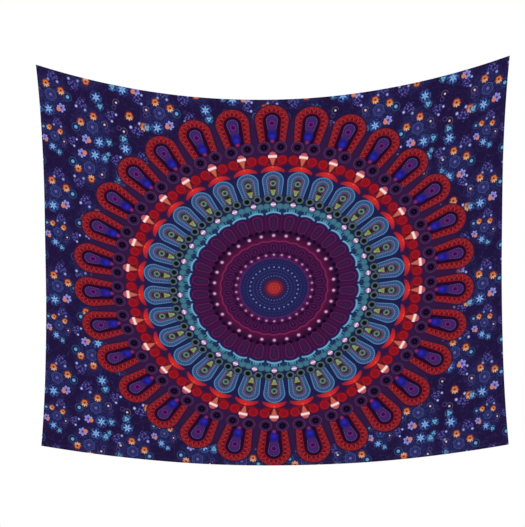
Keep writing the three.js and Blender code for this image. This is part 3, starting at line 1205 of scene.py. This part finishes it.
class TAPESTRY_OT_turn_hems(bpy.types.Operator):
    """Make the four turned hems behind the edges of the cloth"""

    bl_idname = "tapestry.turn_hems"
    bl_label = "Turn Hems"

    def execute(self, context):
        cloth = context.scene.tapestry_cloth
        sewing = context.scene.tapestry_sewing
        finish = bpy.data.materials["Printed Cloth"]
        for side in SIDES:
            level, size, length = edge_sizes(side)
            width = cloth.hem_width / size
            start = 0 if level else (cloth.hem_width + CORNER_GAP) / length
            cross = np.array(HEM_CROSS_SECTION) * width
            if side in ("bottom", "right"):
                cross = 1 - cross[::-1]
            along = np.linspace(start, 1 - start, 2 * (cloth.columns if level else cloth.rows) + 1)
            lines = (along, cross) if level else (cross, along)
            across, down = grid(*lines)
            from_edge = (down if level else across) * size
            if side in ("bottom", "right"):
                from_edge = size - from_edge
            run = (across if level else down) * length
            share = from_edge / cloth.hem_width
            rounding = np.clip(np.minimum(share, 1 - share) / 0.1, 0, 1) ** 0.5
            pull = np.exp(-((from_edge - sewing.inset) / SEAM_WIDTH) ** 2)
            pucker = 0.5 + 0.5 * np.sin(2 * math.pi * run / (4 * sewing.stitch_pitch))
            thickness = rounding * (HEM_THICKNESS - SEAM_DRAW * pull - PUCKER * pucker)
            back = PANEL_BACK_DEPTH - LAYER_GAP - thickness
            mesh = sheet_mesh("hem_" + side, *lines, back, PANEL_BACK_DEPTH - LAYER_GAP / 2)
            piece = finish_piece("turned_hem_" + side, mesh, [finish, finish])
            declare(piece, "hem_cloth", "hem_" + side)
        return {"FINISHED"}


class TAPESTRY_OT_sew_seams(bpy.types.Operator):
    """Sew the hems down with a row of lock stitches, seen on the front and on the back"""

    bl_idname = "tapestry.sew_seams"
    bl_label = "Sew Seams"

    def execute(self, context):
        cloth = context.scene.tapestry_cloth
        sewing = context.scene.tapestry_sewing
        material = thread_finish()
        tree = stitch_tree()
        front_depth = PANEL_BACK_DEPTH + cloth.thickness + sewing.thread * THREAD_CLEAR
        back_depth = PANEL_BACK_DEPTH - (HEM_THICKNESS - LAYER_GAP) - sewing.thread * THREAD_CLEAR
        for thread, depth in (("needle_thread", front_depth), ("bobbin_thread", back_depth)):
            for side in SIDES:
                level, size, length = edge_sizes(side)
                inset = sewing.inset / size
                place = 1 - inset if side in ("bottom", "right") else inset
                end = sewing.inset / length * (0.5 if level else 1.1)
                run = np.linspace(end, 1 - end, SEAM_POINTS)
                fixed = np.full_like(run, place)
                across, down = (run, fixed) if level else (fixed, run)
                node = f"{thread}_{side}"
                piece = sewn_row("sewn_" + node, on_cloth(across, down, depth), tree, material)
                declare(piece, "thread", node)
        bpy.data.node_groups.remove(tree)
        return {"FINISHED"}


class TAPESTRY_OT_sew_label(bpy.types.Operator):
    """Make the blank care label on the back and the thread that holds it"""

    bl_idname = "tapestry.sew_label"
    bl_label = "Sew Label"

    def execute(self, context):
        cloth = context.scene.tapestry_cloth
        bottom = 1 - (cloth.hem_width + CORNER_GAP) / cloth.drop
        across_lines = (LABEL_INSET + np.linspace(0, 1, LABEL_COLUMNS + 1) * LABEL_WIDTH) / cloth.width
        down_lines = bottom - (1 - np.linspace(0, 1, LABEL_ROWS + 1)) * LABEL_DROP / cloth.drop
        across, down = grid(across_lines, down_lines)
        free = np.clip((bottom - down) * cloth.drop / LABEL_DROP, 0, 1)
        aside = across - across_lines[LABEL_COLUMNS // 2]
        lift = LABEL_LIFT * free ** 2 * (0.6 + 0.4 * np.cos(aside * LABEL_WAVE))
        near = LABEL_DEPTH - lift
        mesh = sheet_mesh("sewn_label", across_lines, down_lines, near, near + LABEL_THICKNESS)
        finish = label_finish()
        piece = finish_piece("sewn_label", mesh, [finish, finish])
        declare(piece, "label_tape", "care_label")
        seam_down = bottom - LABEL_SEAM / cloth.drop
        start = LABEL_INSET + LABEL_SEAM_INSET
        end = LABEL_INSET + LABEL_WIDTH - LABEL_SEAM_INSET
        run = np.linspace(start, end, LABEL_SEAM_POINTS) / cloth.width
        tree = stitch_tree()
        places = on_cloth(run, np.full_like(run, seam_down), LABEL_DEPTH - LAYER_GAP)
        thread = sewn_row("sewn_label_thread", places, tree, bpy.data.materials["Sewing Thread"])
        declare(thread, "thread", "label_thread")
        bpy.data.node_groups.remove(tree)
        return {"FINISHED"}


DOME_STEPS = 12
DOME_HEIGHT = 0.0020
SKIRT_TOP = 0.0028
SEAT_ROUNDING = 0.0002
SOCKET_RADIUS = 0.0006
SOCKET_DEPTH = 0.0022
NEEDLE_TAPER = 0.003
TAPER_STEPS = 8


class TAPESTRY_OT_set_pins(bpy.types.Operator):
    """Set a pin through each corner: a ball-topped plastic head on a steel needle"""

    bl_idname = "tapestry.set_pins"
    bl_label = "Set Pins"

    def execute(self, context):
        sides = context.scene.tapestry_pins.sides
        plastic = pin_plastic()
        steel = pin_steel()
        for corner in CORNERS:
            low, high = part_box("pin_head_" + corner)
            place = ((low[0] + high[0]) / 2, (low[2] + high[2]) / 2)
            self.make_head(corner, place, low, high, sides, plastic)
            self.make_needle(corner, place, sides, steel)
        return {"FINISHED"}

    def make_head(self, corner, place, low, high, sides, plastic):
        radius = (high[2] - low[2]) / 2
        front, seat = low[1], high[1]
        dome = []
        for step in range(DOME_STEPS + 1):
            angle = step / DOME_STEPS * math.pi / 2
            dome.append((radius * math.sin(angle), front + DOME_HEIGHT * (1 - math.cos(angle))))
        skirt = [
            (radius * 0.97, front + SKIRT_TOP),
            (radius * 0.86, seat - SEAT_ROUNDING),
            (radius * 0.82, seat),
        ]
        floor = seat - SOCKET_DEPTH
        socket = [(SOCKET_RADIUS, seat), (SOCKET_RADIUS, floor), (0, floor)]
        mesh = turned_mesh("pin_head", dome + skirt + socket, place, sides)
        piece = finish_piece("ball_head_" + corner, mesh, [plastic])
        declare(piece, "pin_plastic", "pin_head_" + corner)

    def make_needle(self, corner, place, sides, steel):
        low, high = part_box("pin_needle_" + corner)
        radius = (high[2] - low[2]) / 2
        start, end = low[1], high[1]
        point = []
        for step in range(1, TAPER_STEPS + 1):
            share = step / TAPER_STEPS
            point.append((radius * (1 - share) ** 0.8, end - NEEDLE_TAPER * (1 - share)))
        top = [(0, start), (radius * 0.9, start), (radius, start + 0.1 * MM)]
        body = [*top, (radius, end - NEEDLE_TAPER)]
        mesh = turned_mesh("pin_needle", body + point, place, sides // 2)
        piece = finish_piece("steel_needle_" + corner, mesh, [steel])
        declare(piece, "pin_steel", "pin_needle_" + corner)


class TAPESTRY_OT_declare_cloth(bpy.types.Operator):
    """An empty step, which leaves the scene as it is"""

    bl_idname = "tapestry.declare_cloth"
    bl_label = "Declare Cloth"

    def execute(self, context):
        return {"FINISHED"}


# Each lamp: its name, its place from the middle of the cloth, and its power in watts.
LAMPS = (("Key", (-1.9, -2.6, 1.7), 7.0), ("Back Fill", (1.8, 2.4, 1.2), 6.0))
LAMP_SIZE = 1.8
# Where the middle of the view falls, as (x, z).
VIEW_MIDDLE = (-0.032, -0.632)


class TAPESTRY_OT_set_stage(bpy.types.Operator):
    """Make the pale floor and the soft light"""

    bl_idname = "tapestry.set_stage"
    bl_label = "Set Stage"

    def execute(self, context):
        studio = context.scene.tapestry_studio
        low, high = CAD_BOX
        height = low[2] - studio.floor_drop
        half = studio.floor_size / 2
        mesh = bpy.data.meshes.new("floor")
        outline = ((-half, -half), (half, -half), (half, half), (-half, half))
        mesh.from_pydata([(x, y, height) for x, y in outline], [], [(0, 1, 2, 3)])
        finish_piece("floor", mesh, [floor_finish()], smooth=False)
        world = bpy.data.worlds.new("Studio")
        world.use_nodes = True
        background = world.node_tree.nodes["Background"]
        background.inputs["Color"].default_value = (1, 1, 1, 1)
        background.inputs["Strength"].default_value = 1.0
        context.scene.world = world
        middle = Vector(((low[0] + high[0]) / 2, 0, (low[2] + high[2]) / 2))
        for name, offset, power in LAMPS:
            self.soft_light(name, middle + Vector(offset), middle, power)
        context.scene.view_settings.view_transform = "Standard"
        return {"FINISHED"}

    def soft_light(self, name, place, target, power):
        light = bpy.data.lights.new(name, "AREA")
        light.energy = power
        light.size = LAMP_SIZE
        lamp = link(name, light)
        lamp.location = place
        lamp.rotation_euler = (target - place).to_track_quat("-Z", "Y").to_euler()


class TAPESTRY_OT_set_camera(bpy.types.Operator):
    """Put the camera square in front of the cloth, on a long lens"""

    bl_idname = "tapestry.set_camera"
    bl_label = "Set Camera"

    def execute(self, context):
        studio = context.scene.tapestry_studio
        data = bpy.data.cameras.new("Camera")
        data.sensor_fit = "VERTICAL"
        data.sensor_height = 36.0
        data.lens = data.sensor_height * studio.camera_distance / studio.field
        camera = link("Camera", data)
        camera.location = (VIEW_MIDDLE[0], -studio.camera_distance, VIEW_MIDDLE[1])
        camera.rotation_euler = (math.pi / 2, 0, 0)
        context.scene.camera = camera
        return {"FINISHED"}


class TAPESTRY_PT_panel(bpy.types.Panel):
    """Settings and steps for the hung tapestry"""

    bl_idname = "TAPESTRY_PT_panel"
    bl_label = "Tapestry"
    bl_space_type = "VIEW_3D"
    bl_region_type = "UI"
    bl_category = "Tapestry"

    def draw(self, context):
        for group in GROUPS:
            settings = getattr(context.scene, group)
            box = self.layout.box()
            for name in settings.bl_rna.properties.keys():
                if name not in ("rna_type", "name"):
                    box.prop(settings, name)
        for operator in STEPS:
            self.layout.operator(operator.bl_idname)


GROUPS = {
    "tapestry_cloth": TapestryCloth,
    "tapestry_print": TapestryPrint,
    "tapestry_sewing": TapestrySewing,
    "tapestry_pins": TapestryPins,
    "tapestry_studio": TapestryStudio,
}
STEPS = (
    TAPESTRY_OT_set_camera,
    TAPESTRY_OT_make_panel,
    TAPESTRY_OT_turn_hems,
    TAPESTRY_OT_sew_seams,
    TAPESTRY_OT_sew_label,
    TAPESTRY_OT_set_pins,
    TAPESTRY_OT_declare_cloth,
    TAPESTRY_OT_set_stage,
)


def register():
    for kind in (*GROUPS.values(), *STEPS, TAPESTRY_PT_panel):
        bpy.utils.register_class(kind)
    for name, kind in GROUPS.items():
        setattr(bpy.types.Scene, name, PointerProperty(type=kind))


def unregister():
    for name in GROUPS:
        delattr(bpy.types.Scene, name)
    for kind in reversed((*GROUPS.values(), *STEPS, TAPESTRY_PT_panel)):
        bpy.utils.unregister_class(kind)


def main():
    register()
    bpy.ops.tapestry.set_camera()
    bpy.ops.tapestry.make_panel()
    bpy.ops.tapestry.turn_hems()
    bpy.ops.tapestry.sew_seams()
    bpy.ops.tapestry.sew_label()
    bpy.ops.tapestry.set_pins()
    bpy.ops.tapestry.declare_cloth()
    bpy.ops.tapestry.set_stage()


if __name__ == "__main__":
    main()
